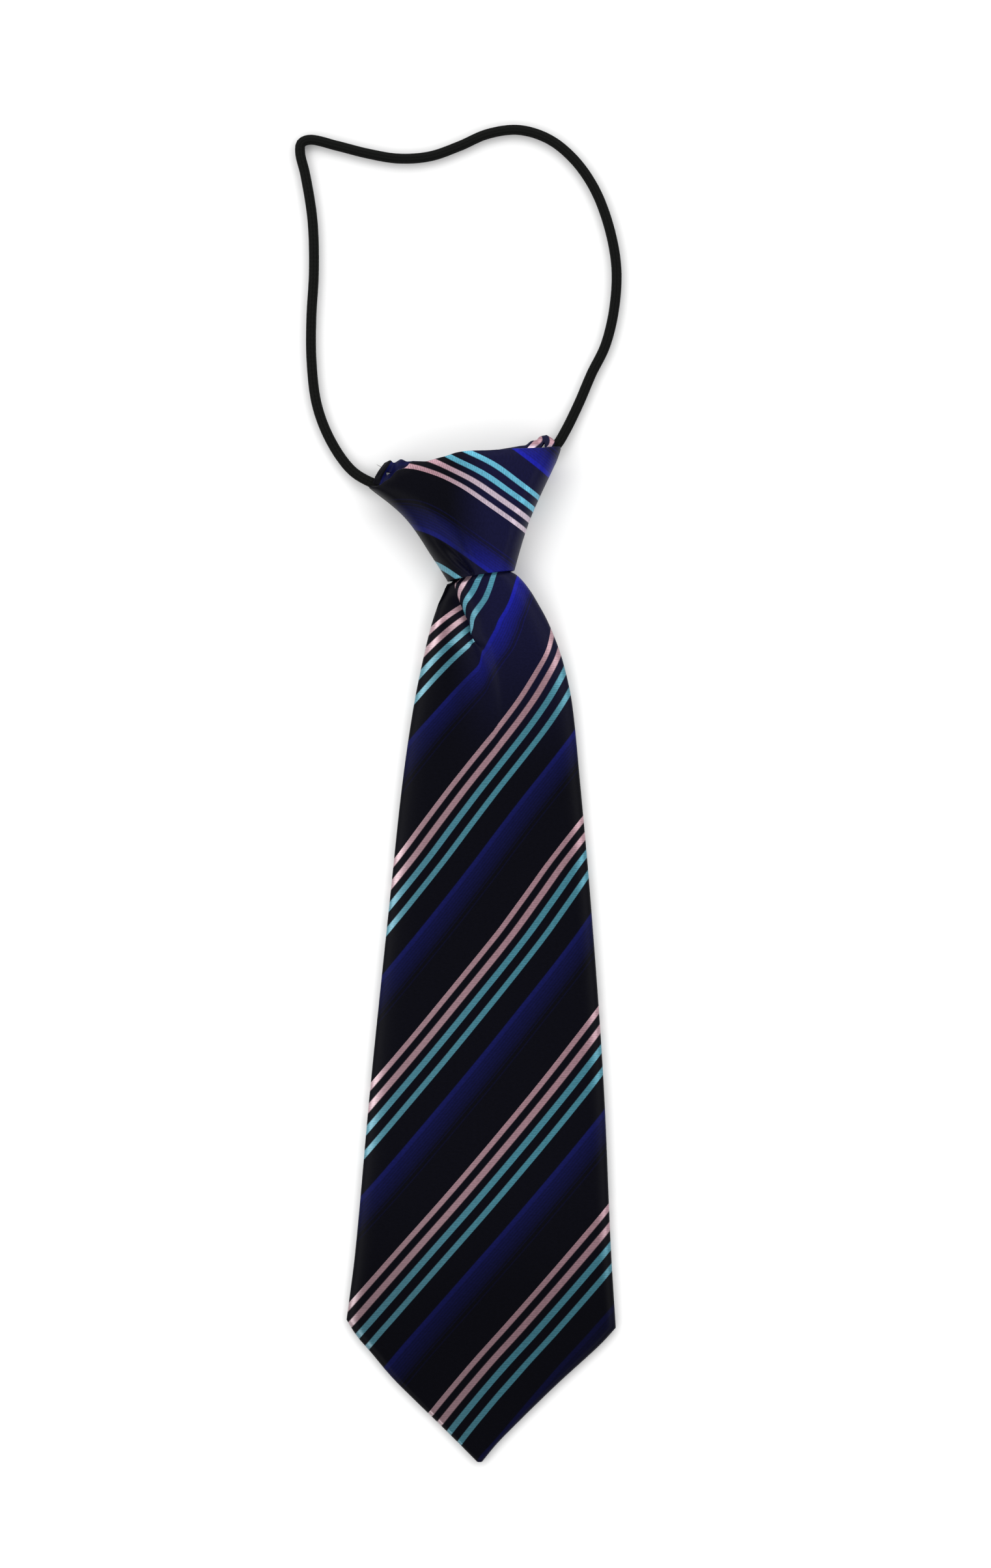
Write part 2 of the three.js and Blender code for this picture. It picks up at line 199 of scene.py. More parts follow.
def knitted_cover(length):
    """Knitted polyester: matt black, with slanting stitches in columns that run along the cord. They
    show only as a faint grain."""
    settings = {"Roughness": KNIT_ROUGHNESS, "Specular IOR Level": KNIT_SPECULAR}
    material, tree, shader = new_material("knitted_polyester_cover", settings)
    uv = add_node(tree, "ShaderNodeUVMap", {"uv_map": "UVMap"})
    apart = add_node(tree, "ShaderNodeSeparateXYZ", links={0: uv})
    turns_along = 2 * math.pi * length / STITCH_PITCH
    along = add_node(tree, "ShaderNodeMath", {"operation": "MULTIPLY", 1: turns_along}, {0: apart})
    around = add_node(
        tree,
        "ShaderNodeMath",
        {"operation": "MULTIPLY", 1: math.pi * STITCH_COLUMNS},
        {0: apart.outputs["Y"]},
    )
    column = add_node(tree, "ShaderNodeMath", {"operation": "SINE"}, {0: around})
    ridge = add_node(tree, "ShaderNodeMath", {"operation": "ABSOLUTE"}, {0: column})
    slant = add_node(
        tree,
        "ShaderNodeMath",
        {"operation": "MULTIPLY_ADD", 1: STITCH_LEAN},
        {0: ridge, 2: along},
    )
    stitch = add_node(tree, "ShaderNodeMath", {"operation": "SINE"}, {0: slant})
    height = add_node(
        tree,
        "ShaderNodeMath",
        {"operation": "MULTIPLY_ADD", 1: STITCH_DEPTH},
        {0: stitch, 2: ridge},
    )
    bump = add_node(
        tree,
        "ShaderNodeBump",
        {"Strength": KNIT_STRENGTH, "Distance": KNIT_RELIEF},
        {"Height": height},
    )
    # darker in the grooves, following the same ridge as the bump: painted shade
    shade = add_node(
        tree,
        "ShaderNodeMix",
        {"data_type": "RGBA", 6: linear(COVER_GROOVE_SHADE), 7: linear(COVER_YARN)},
        {0: ridge},
    )
    tree.links.new(shade.outputs[2], shader.inputs["Base Color"])
    tree.links.new(bump.outputs[0], shader.inputs["Normal"])
    return material


cord_route = [(x, y, *(z or [ON_TABLE])) for x, y, *z in CORD_ROUTE]
cord_points, cord_length = even_route(cord_route, CORD_STEP)
cord_curve = bpy.data.curves.new("elastic_loop", "CURVE")
cord_curve.dimensions = "3D"
cord_curve.bevel_depth = CORD_DIAMETER / 2
cord_curve.bevel_resolution = 6
cord_curve.use_fill_caps = True
spline = cord_curve.splines.new("POLY")
spline.points.add(len(cord_points) - 1)
for spot, point in zip(spline.points, cord_points):
    spot.co = (*point, 1)
elastic_loop = bpy.data.objects.new("elastic_loop", cord_curve)
scene.collection.objects.link(elastic_loop)
cord_curve.materials.append(knitted_cover(cord_length))
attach(elastic_loop, "root")
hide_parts("elastic_cord")

# The blade is one piece of striped satin, cut on the slant and folded flat. Its side edges are rolled
# to the back, where one flap is lapped over the other and slip-stitched, and its neck is pleated.
SATIN = 0.0006  # thickness of the cloth
BACK_COLUMNS = 18  # columns of the cloth grid across each back flap
TURN_COLUMNS = 6  # and round the underside of each edge
FRONT_COLUMNS = 34  # and across each half of the front
PLEAT_COLUMNS = 28  # and across the pleat between them
ROW_STEP = 0.0014  # distance between the rows of the grid
PLEAT_STEP = 0.0006  # and between those where the cloth is pleated
PLEATED_FROM = 0.074  # which is from here up
WIDEST = 0.42  # share of the blade's thickness at which its edge is widest
UNDER_ROLL = 0.0016  # width of the rounding under the edge
LAP = 0.0012  # how far each back flap passes the middle
LAP_RISE = 0.0010  # how far the covered flap's edge is pressed up
LAP_RAMP = 0.0045  # width over which it rises
PLEAT_REACH = 0.0024  # half the width that the pleat takes where it lies open
STEEP = 0.0022  # width over which the upper fold rounds off to its edge
UPPER_DIP = 0.45  # how far down it rounds off, as a share of the lower layer's dip
GENTLE = 0.0065  # width over which the lower layer dips towards the pleat
NARROW = 0.012  # where the blade is narrower than this, its seam and roundings shrink with it

# Over the pleat the cloth climbs from the lower layer to the upper one in three eased steps: how much
# of the way, from which share of the pleat, and over how much of it. The middle of it is tucked under.
PLEAT_CLIMB = [(0.15, 0.15, 0.2), (0.28, 0.35, 0.3), (0.57, 0.62, 0.24)]
TUCKED = (0.4, 0.6)

BLADE_KEYS = "y left right tilt back front roll_left roll_right"
BLADE = [
    (-0.1038, -0.0372, 0.0372, -0.0022, 0, 0.0032, 0.004, 0.003),
    (-0.0840, -0.0348, 0.0359, 0, 0, 0.0036, 0.006, 0.004),
    (-0.0404, -0.0308, 0.0340, 0, 0, 0.0039, 0.008, 0.005),
    (0.0136, -0.0252, 0.0302, 0, 0, 0.0040, 0.009, 0.005),
    (0.0460, -0.0217, 0.0273, 0, 0, 0.0042, 0.009, 0.006),
    (0.0676, -0.0185, 0.0251, 0, 0, 0.0048, 0.009, 0.008),
    (0.0790, -0.0162, 0.0226, 0, 0, 0.0058, 0.009, 0.009),
    (0.0890, -0.0138, 0.0189, 0, 0.0001, 0.0072, 0.008, 0.009),
    (0.0942, -0.0121, 0.0162, 0, 0.0004, 0.0081, 0.007, 0.008),
    (0.0982, -0.0106, 0.0134, 0.0012, 0.0007, 0.0086, 0.006, 0.007),
    (0.1017, -0.0094, 0.0094, 0.0030, 0.0011, 0.0086, 0.005, 0.005),
    (0.1026, -0.0077, 0.0077, 0.0030, 0.0014, 0.0083, 0.004, 0.004),
    (0.1088, -0.0074, 0.0072, 0.0027, 0.0022, 0.0080, 0.003, 0.003),
    (0.1155, -0.0068, 0.0060, 0.0030, 0.0030, 0.0074, 0.003, 0.003),
]

# Below the corners its two edges run to the point in slight curves, both bowed to the left.
POINT = [
    (-0.1419, -0.0012, 0.0003, 0, 0, 0.0024, 0.0008, 0.0008),
    (-0.1370, -0.0062, 0.0042, -0.0003, 0, 0.0025, 0.0012, 0.0011),
    (-0.1310, -0.0124, 0.0099, -0.0006, 0, 0.0026, 0.0017, 0.0014),
    (-0.1250, -0.0188, 0.0158, -0.0010, 0, 0.0028, 0.0022, 0.0018),
    (-0.1190, -0.0249, 0.0219, -0.0013, 0, 0.0029, 0.0027, 0.0021),
    (-0.1130, -0.0301, 0.0283, -0.0017, 0, 0.0030, 0.0032, 0.0025),
    (-0.1080, -0.0345, 0.0335, -0.0020, 0, 0.0031, 0.0036, 0.0028),
]

# The pleat's visible edge, how deep the layer under it lies, how far the cloth is tucked under, and
# how far the lower layer's stripes are drawn up where they reach it.
PLEAT_KEYS = "y edge deep tuck hook"
PLEAT = [
    (0.0500, 0.0048, 0, 0, 0),
    (0.0600, 0.0042, 0.0003, 0, 0),
    (0.0676, 0.0036, 0.0007, 0, 0.0006),
    (0.0760, 0.0024, 0.0013, 0, 0.0016),
    (0.0800, 0.0012, 0.0018, 0, 0.0026),
    (0.0824, 0.0003, 0.0021, 0.0002, 0.0026),
    (0.0850, -0.0019, 0.0026, 0.0009, 0),
    (0.0872, -0.0028, 0.0030, 0.0019, 0),
    (0.0896, -0.0034, 0.0033, 0.0026, 0),
    (0.0924, -0.0046, 0.0037, 0.0031, 0),
    (0.0962, -0.0061, 0.0038, 0.0034, 0),
    (0.1010, -0.0072, 0.0034, 0.0034, 0),
    (0.1088, -0.0050, 0.0024, 0.0024, 0),
    (0.1155, -0.0030, 0.0016, 0.0014, 0),
]

# How far the stripes have been pulled along their slant, measured square to them, where the cloth was
# pressed and gathered: at the left edge, below and above the pleat, between it and the right edge,
# and there.
PULL_KEYS = "y left below above middle right"
PULL = [
    (-0.1419, -0.0012, -0.0008, -0.0008, -0.0010, -0.0012),
    (-0.1160, 0.0004, -0.0007, -0.0007, -0.0013, -0.0018),
    (-0.1038, 0.0010, -0.0009, -0.0009, -0.0018, -0.0026),
    (-0.0840, 0.0009, -0.0009, -0.0009, -0.0016, -0.0022),
    (-0.0620, 0.0003, -0.0008, -0.0008, -0.0013, -0.0017),
    (-0.0404, 0.0002, -0.0005, -0.0005, -0.0008, -0.0010),
    (-0.0190, -0.0001, -0.0001, -0.0001, 0, 0),
    (0.0028, -0.0001, 0.0001, 0.0001, 0.0005, 0.0009),
    (0.0136, -0.0002, 0.0005, 0.0005, 0.0011, 0.0016),
    (0.0244, -0.0003, 0.0008, 0.0008, 0.0016, 0.0022),
    (0.0350, 0.0001, 0.0011, 0.0011, 0.0016, 0.0020),
    (0.0460, 0.0005, 0.0013, 0.0013, 0.0016, 0.0018),
    (0.0568, 0.0006, 0.0012, 0.0013, 0.0017, 0.0020),
    (0.0676, -0.0002, 0.0006, 0.0012, 0.0021, 0.0029),
    (0.0784, -0.0010, -0.0011, 0.0012, 0.0028, 0.0044),
    (0.0830, -0.0015, -0.0021, 0.0007, 0.0027, 0.0054),
    (0.0875, -0.0021, -0.0030, 0.0010, 0.0032, 0.0067),
    (0.0906, -0.0026, -0.0039, 0.0020, 0.0038, 0.0078),
    (0.0930, -0.0029, -0.0048, 0.0024, 0.0036, 0.0080),
    (0.0954, -0.0031, -0.0054, 0.0026, 0.0035, 0.0076),
    (0.0983, -0.0034, -0.0058, 0.0025, 0.0039, 0.0068),
    (0.1026, -0.0036, -0.0062, 0.0024, 0.0046, 0.0066),
    (0.1155, -0.0036, -0.0062, 0.0024, 0.0046, 0.0066),
]
PULL_MIDDLE = 0.55  # the middle value holds at this share of the way from the pleat to the right edge
DRAWN = 0.75  # how much cloth the turn at the pleat's edge takes, as a share of the tuck
DRAWN_WIDTH = 0.0008  # width over which it takes it
HOOK_WIDTH = 0.0016  # width over which the lower layer's stripes are drawn up
STRIPE_SLANT = (0.7705, -0.6374)  # across the stripes, in the cloth's width and length


def named_rows(keys, rows):
    """The rows of a table, each with its values under their names."""
    return [dict(zip(keys.split(), row)) for row in rows]


def slope_at(rows, axis, key, i):
    """A column's slope at a row: level at a peak, and otherwise the harmonic mean of both sides."""

    def rise(j):
        return (rows[j + 1][key] - rows[j][key]) / (rows[j + 1][axis] - rows[j][axis])

    if i == 0:
        return rise(0)
    if i == len(rows) - 1:
        return rise(i - 1)
    a, b = rise(i - 1), rise(i)
    return 2 * a * b / (a + b) if a * b > 0 else 0


def row_at(rows, axis, at):
    """Every column of a table at a place between its rows, on curves that never overshoot."""
    i = max([k for k, row in enumerate(rows[:-1]) if row[axis] <= at], default=0)
    span = rows[i + 1][axis] - rows[i][axis]
    f = min(max((at - rows[i][axis]) / span, 0), 1)
    found = {}
    for key in rows[i]:
        leave = slope_at(rows, axis, key, i) * span
        arrive = slope_at(rows, axis, key, i + 1) * span
        start = (1 + 2 * f) * rows[i][key] + f * leave
        end = (3 - 2 * f) * rows[i + 1][key] - (1 - f) * arrive
        found[key] = (1 - f) ** 2 * start + f**2 * end
    return found


def rolled(distance, roll):
    """The share of the full height at a distance from a rolled edge: a quarter ellipse."""
    left = 1 - min(max(distance, 0) / roll, 1)
    return math.sqrt(max(0, 1 - left * left))


def smooth(part):
    """A part of 0 to 1, eased at both ends."""
    part = min(max(part, 0), 1)
    return part * part * (3 - 2 * part)


def cloth_piece(name, sections, joined_sides=False):
    """A cloth made from a flat grid. Each vertex goes to the (x, y, z) that its place in the sections
    gives, and each corner keeps the (u, v) of the woven cloth there."""
    rows, columns = len(sections) - 1, len(sections[0]) - 1
    grid = bmesh.new()
    bmesh.ops.create_grid(grid, x_segments=columns, y_segments=rows, size=0.5)
    weave = grid.loops.layers.uv.new("cloth")
    spot = {
        vert: sections[round((vert.co.y + 0.5) * rows)][round((vert.co.x + 0.5) * columns)]
        for vert in grid.verts
    }
    for face in grid.faces:
        face.smooth = True
        for loop in face.loops:
            loop[weave].uv = spot[loop.vert][1]
    for vert in grid.verts:
        vert.co = spot[vert][0]
    if joined_sides:
        bmesh.ops.remove_doubles(grid, verts=grid.verts, dist=1e-6)
    mesh = bpy.data.meshes.new(name)
    grid.to_mesh(mesh)
    grid.free()
    piece = bpy.data.objects.new(name, mesh)
    scene.collection.objects.link(piece)
    return piece


def give_wall(piece, thickness):
    """Gives a cloth its thickness, inwards from its face."""
    wall = piece.modifiers.new("wall", "SOLIDIFY")
    wall.thickness = thickness
    wall.offset = -1
    wall.use_even_offset = False


def eased_shares(count, near_start):
    """Shares of a width that lie closer together towards its start, or towards its end."""
    turns = [math.pi / 2 * i / count for i in range(count + 1)]
    return [1 - math.cos(t) for t in turns] if near_start else [math.sin(t) for t in turns]


def front_height(row, x):
    """The height of the blade's front above its widest level, without the pleat."""
    base = row["back"] + (row["front"] - row["back"]) * WIDEST
    width = row["right"] - row["left"]
    fit = min(1, width / (row["roll_left"] + row["roll_right"]))
    from_left = rolled(x - row["left"], row["roll_left"] * fit)
    from_right = rolled(row["right"] - x, row["roll_right"] * fit)
    return base + (row["front"] - base) * (from_left * from_right)


def blade_section(row, pleat, pull):
    """One row of the blade's cloth, from the seam round the left edge, over the front and round the
    right edge back to the seam."""
    left, right, back = row["left"], row["right"], row["back"]
    middle = (left + right) / 2
    width = right - left
    base = back + (row["front"] - back) * WIDEST
    narrow = min(1, width / NARROW)
    turn_in = UNDER_ROLL * narrow
    lap = LAP * narrow
    ramp = LAP_RAMP * narrow
    tuck = pleat["tuck"]
    open_share = smooth(1 - tuck / PLEAT_REACH)

    # Near the point the pleat's place is only a few columns of the grid, kept clear of both edges.
    reach = min(PLEAT_REACH, width / 8)
    edge = min(max(pleat["edge"], left + width / 9), right - width / 3)
    fold = edge + (tuck - reach / 2) * (1 - open_share)

    def low(x):
        return front_height(row, x) - pleat["deep"] * math.exp(-((min(x - edge, 0) / GENTLE) ** 2))

    def high(x):
        dip = UPPER_DIP * pleat["deep"] * math.exp(-((max(x - edge, 0) / STEEP) ** 2))
        return front_height(row, x) - dip

    spots = []
    for i in range(BACK_COLUMNS):
        x = middle + lap + (left + turn_in - middle - lap) * i / BACK_COLUMNS
        covered = smooth((x - middle + ramp - lap) / ramp)
        spots.append((x, back + LAP_RISE * narrow * covered, "left"))
    for i in range(TURN_COLUMNS):
        turn = math.pi / 2 * i / TURN_COLUMNS
        x = left + turn_in * (1 - math.sin(turn))
        spots.append((x, base - (base - back) * math.cos(turn), "left"))
    for share in eased_shares(FRONT_COLUMNS, True)[:-1]:
        x = left + (fold - reach - left) * share
        spots.append((x, low(x), "left"))
    for i in range(PLEAT_COLUMNS):
        part = i / PLEAT_COLUMNS
        x = fold + reach * (2 * part - 1) + tuck * math.sin(2 * math.pi * part)
        folded = sum(much * smooth((part - start) / span) for much, start, span in PLEAT_CLIMB)
        lift = folded + (smooth(part) - folded) * open_share
        z = low(x) + (high(x) - low(x)) * lift
        spots.append((x, z, "left" if part < TUCKED[0] else "right" if part > TUCKED[1] else "hidden"))
    for share in eased_shares(FRONT_COLUMNS, False):
        x = fold + reach + (right - fold - reach) * share
        spots.append((x, high(x), "right"))
    for i in range(1, TURN_COLUMNS + 1):
        turn = math.pi / 2 * i / TURN_COLUMNS
        x = right - turn_in * (1 - math.cos(turn))
        spots.append((x, base - (base - back) * math.sin(turn), "right"))
    for i in range(1, BACK_COLUMNS + 1):
        x = right - turn_in + (middle - lap - right + turn_in) * i / BACK_COLUMNS
        spots.append((x, back, "right"))
    return with_weave(row, spots, pull, fold, pleat)


def with_weave(row, spots, pull, fold, pleat):
    """Gives each spot of a section its place in plan and in the woven cloth, which is drawn together
    where the upper layer turns down at the pleat's edge."""
    first_front = BACK_COLUMNS + TURN_COLUMNS
    last_front = first_front + 2 * FRONT_COLUMNS + PLEAT_COLUMNS
    edge = min(x for x, _, side in spots[first_front:] if side == "right")
    width = row["right"] - row["left"]
    across = []
    for x, _, side in spots:
        share = (x - row["left"]) / max(fold - row["left"], 1e-6)
        far = (x - fold) / max(row["right"] - fold, 1e-6)
        from_left = pull["left"] + (pull["below"] - pull["left"]) * min(max(share, 0), 1)
        from_left += pleat["hook"] * math.exp(-(((x - fold) / HOOK_WIDTH) ** 2))
        far = min(max(far, 0), 1)
        from_right = (
            pull["above"] * (1 - far) * (PULL_MIDDLE - far) / PULL_MIDDLE
            + pull["middle"] * far * (1 - far) / (PULL_MIDDLE * (1 - PULL_MIDDLE))
            + pull["right"] * far * (far - PULL_MIDDLE) / (1 - PULL_MIDDLE)
        )
        moved = from_left if side == "left" else from_right
        if side == "hidden":
            moved = (from_left + from_right) / 2
        drawn = DRAWN * pleat["tuck"] * math.exp(-(x - edge) / DRAWN_WIDTH) if side == "right" else 0
        across.append(x + moved / STRIPE_SLANT[0] - drawn)
    for i in range(first_front - 1, -1, -1):
        across[i] = across[i + 1] - math.dist(spots[i][:2], spots[i + 1][:2])
    for i in range(last_front + 1, len(spots)):
        across[i] = across[i - 1] + math.dist(spots[i][:2], spots[i - 1][:2])
    placed = []
    for (x, z, _), u in zip(spots, across):
        y = row["y"] + ((x - row["left"]) / width - 0.5) * row["tilt"]
        placed.append(((x, y, z), (u, y)))
    return placed


blade_rows = named_rows(BLADE_KEYS, BLADE)
point_rows = named_rows(BLADE_KEYS, POINT) + blade_rows[:1]
pleat_rows = named_rows(PLEAT_KEYS, PLEAT)
pull_rows = named_rows(PULL_KEYS, PULL)

# The rows run from the point to the corners, on to the pleat, and closer together to the neck's end.
marks = [POINT[0][0], BLADE[0][0], PLEATED_FROM, BLADE[-1][0]]
stations = []
for start, end, step in zip(marks, marks[1:], (ROW_STEP, ROW_STEP, PLEAT_STEP)):
    count = round((end - start) / step)
    stations += [start + (end - start) * k / count for k in range(count)]
stations.append(marks[-1])
blade_sections = []
for y in stations:
    row = row_at(point_rows if y < BLADE[0][0] else blade_rows, "y", y)
    blade_sections.append(blade_section(row, row_at(pleat_rows, "y", y), row_at(pull_rows, "y", y)))
blade_cloth = cloth_piece("blade_cloth", blade_sections)
give_wall(blade_cloth, SATIN)

# The satin's pattern, in millimetres across the stripes: where each one starts and ends, and its yarn.
# The royal blue one starts sharply and fades through fine lines into the ground.
MM = 0.001
PATTERN = 34.9
PATTERN_START = 0.37
STRIPES = [
    (0.0, 1.3, "pink"),
    (3.25, 4.82, "pink"),
    (6.75, 8.32, "teal"),
    (10.7, 12.12, "teal"),
]
STRIPE_EDGE = 0.12  # width over which one yarn gives way to the next
BLUE_EDGE = (18.1, 19.3, 0.9)  # the full blue at the sharp side, and how blue it still is at its end
BLUE_LINES = [0.68, 0.62, 0.55, 0.47, 0.38, 0.28]  # then the lines, and how blue each still is
BLUE_LINE_PITCH = 0.72
BLUE_GAP = 0.55  # how blue the cloth between two lines is, as a share of the line
LAST_LINES = [(24.5, 0.26), (25.7, 0.22)]  # and two lines by themselves
LAST_LINE_WIDTH = 0.22
RIB_PITCH = 0.00048  # a real rib is 0.39 mm wide and would hardly show
RIB_HEIGHT = 0.5  # height of a rib, as a share of the threads'
RIB_SHADE = 0.18  # how much lighter and darker than the yarn a rib and the gap beside it are drawn
THREAD_PITCH = 0.0005  # a real thread is about 0.1 mm wide and would not show
THREAD_STRETCH = 0.5  # the threads are drawn twice as long as they are wide
WEAVE_RELIEF = 0.00008
WEAVE_STRENGTH = 0.3

# The satin, and the ribbed yarns' smooth skin, which sparkles where the cloth turns down at the left.
# A polyester skin has an IOR of about 1.6. Here it is raised to bring out the sparkle.
SATIN_ROUGHNESS = 0.38
SATIN_SPECULAR = 0.045
SKIN_ROUGHNESS = 0.28
SKIN_IOR = 2.1
TEAL_SKIN = 0.5  # how much of the pink's skin the teal has

# The yarns' colours where the cloth is pressed flat, and lighter, lit copies of them painted where it
# rises to the knot: painted light.
FLAT_YARNS = {"ground": "#06060c", "pink": "#9b7881", "teal": "#417c8c", "blue": "#0d103f"}
PAINTED_LIT_YARNS = {"ground": "#10102a", "pink": "#baaab8", "teal": "#5ea6bf", "blue": "#161a86"}
FLAT_GLOSS = 0.65  # how far the ribbed yarns mirror the light like metal, where they are flat
RAISED_GLOSS = 0.5  # and where they rise

# How the look changes along the tie (y), across it (x), across the stripes (slant) and from thread to
# thread: how each change eases, from where to where it goes, and its values there.
CHANGES = {
    "rise": ("y", "SMOOTHSTEP", 0.045, 0.104, 0, 1),  # the ground and the royal blue are painted lighter, as lit, where they rise to the knot
    "ribbed_rise": ("y", "SMOOTHSTEP", 0.084, 0.120, 0, 1),  # and so are the pink and the teal,
    "below_band": ("y", "SMOOTHSTEP", 0.1378, 0.1392, 1, 0),  # but that painted light is left off the neckband's right end
    "turn": ("x", "SMOOTHSTEP", -0.010, 0.004, 0, 1),  # the ground is painted as lit only towards the right,
    "ribbed_turn": ("x", "SMOOTHSTEP", -0.014, 0.004, 0, 1),  # and so are the pink and the teal
    "over_fold": ("x", "LINEAR", -0.030, 0.010, 0, 1),  # how far along BLUE_PAINTED_LIGHT the royal blue is
    "last_blue": ("slant", "SMOOTHSTEP", 0.070, 0.085, 1, 0.4),  # its last stripe fades
    "near_point": ("y", "SMOOTHSTEP", -0.105, -0.060, 0.66, 1),  # all yarns are drawn darker towards the point
    "skin_across": ("x", "LINEAR", -0.012, 0.008, 1, 0.35),  # the skin sparkles most at the left
    "skin_along": ("y", "LINEAR", 0.084, 0.120, 1, 0.15),  # and little on the knot
    "glint": ("threads", "LINEAR", 0.3, 0.7, 0.86, 1.14),  # one thread is brighter than the next
}

# The royal blue is painted lighter, as lit, at the right, and a little on the left side of the knot's
# soft fold.
BLUE_PAINTED_LIGHT = [(0, 0.02), (0.3, 0.05), (0.44, 0.2), (0.54, 0.2), (0.62, 0.03), (0.72, 0.5), (0.9, 1)]

# How those changes and the pattern combine: an operation, and the values and numbers it takes.
STEPS = {
    "lit": ("MULTIPLY", "rise", "turn"),
    "blue_lit": ("MULTIPLY", "rise", "blue_painted_light"),
    "risen": ("MULTIPLY", "ribbed_rise", "below_band"),
    "ribbed_lit": ("MULTIPLY", "risen", "ribbed_turn"),
    "blue_shows": ("MULTIPLY", "blues", "last_blue"),
    "ribbed": ("ADD", "pink_shows", "teal_shows"),
    "rib_turns": ("MULTIPLY", "length", 2 * math.pi / RIB_PITCH),
    "rib_wave": ("SINE", "rib_turns"),
    "rib": ("MULTIPLY", "rib_wave", "ribbed"),
    "height": ("MULTIPLY_ADD", "rib", RIB_HEIGHT, "threads"),
    "rib_shade": ("MULTIPLY_ADD", "rib", RIB_SHADE, "glint"),
    "yarn_shade": ("MULTIPLY", "rib_shade", "near_point"),
    "gloss": ("MULTIPLY_ADD", "ribbed_rise", RAISED_GLOSS - FLAT_GLOSS, FLAT_GLOSS),
    "metal": ("MULTIPLY", "gloss", "ribbed"),
    "skinned": ("MULTIPLY_ADD", "teal_shows", TEAL_SKIN, "pink_shows"),
    "skin_there": ("MULTIPLY", "skin_across", "skin_along"),
    "skin": ("MULTIPLY", "skinned", "skin_there"),
}


def fill_ramp(ramp, stops):
    """Sets the stops of a colour ramp, which starts with two."""
    while len(ramp.elements) < len(stops):
        ramp.elements.new(0.5)
    for element, (place, colour) in zip(ramp.elements, sorted(stops)):
        element.position = place
        element.color = (*colour, 1)


def yarn_stops():
    """Where the pink yarn shows, in the first channel, and the teal yarn, in the second."""
    shows = {"ground": (0, 0, 0), "pink": (1, 0, 0), "teal": (0, 1, 0)}
    stops = [(0.0, shows["pink"]), (1.0, shows["ground"])]
    for start, end, yarn in STRIPES:
        if start > 0:
            stops.append((start / PATTERN, shows["ground"]))
            stops.append(((start + STRIPE_EDGE) / PATTERN, shows[yarn]))
        stops.append((end / PATTERN, shows[yarn]))
        stops.append(((end + STRIPE_EDGE) / PATTERN, shows["ground"]))
    return stops


def blue_stops():
    """How blue the cloth is across one repeat of the pattern."""
    sharp, soft, still = BLUE_EDGE
    places = [(0.0, 0), (sharp, 0), (sharp + STRIPE_EDGE, 1), (soft, still)]
    for i, strength in enumerate(BLUE_LINES):
        start = soft + (i + 0.5) * BLUE_LINE_PITCH
        places.append((start, strength * BLUE_GAP))
        places.append((start + BLUE_LINE_PITCH / 2, strength))
    for middle, strength in LAST_LINES:
        places.append((middle - LAST_LINE_WIDTH, 0))
        places.append((middle, strength))
        places.append((middle + LAST_LINE_WIDTH, 0))
    places.append((PATTERN, 0))
    return [(at / PATTERN, (v, v, v)) for at, v in places]


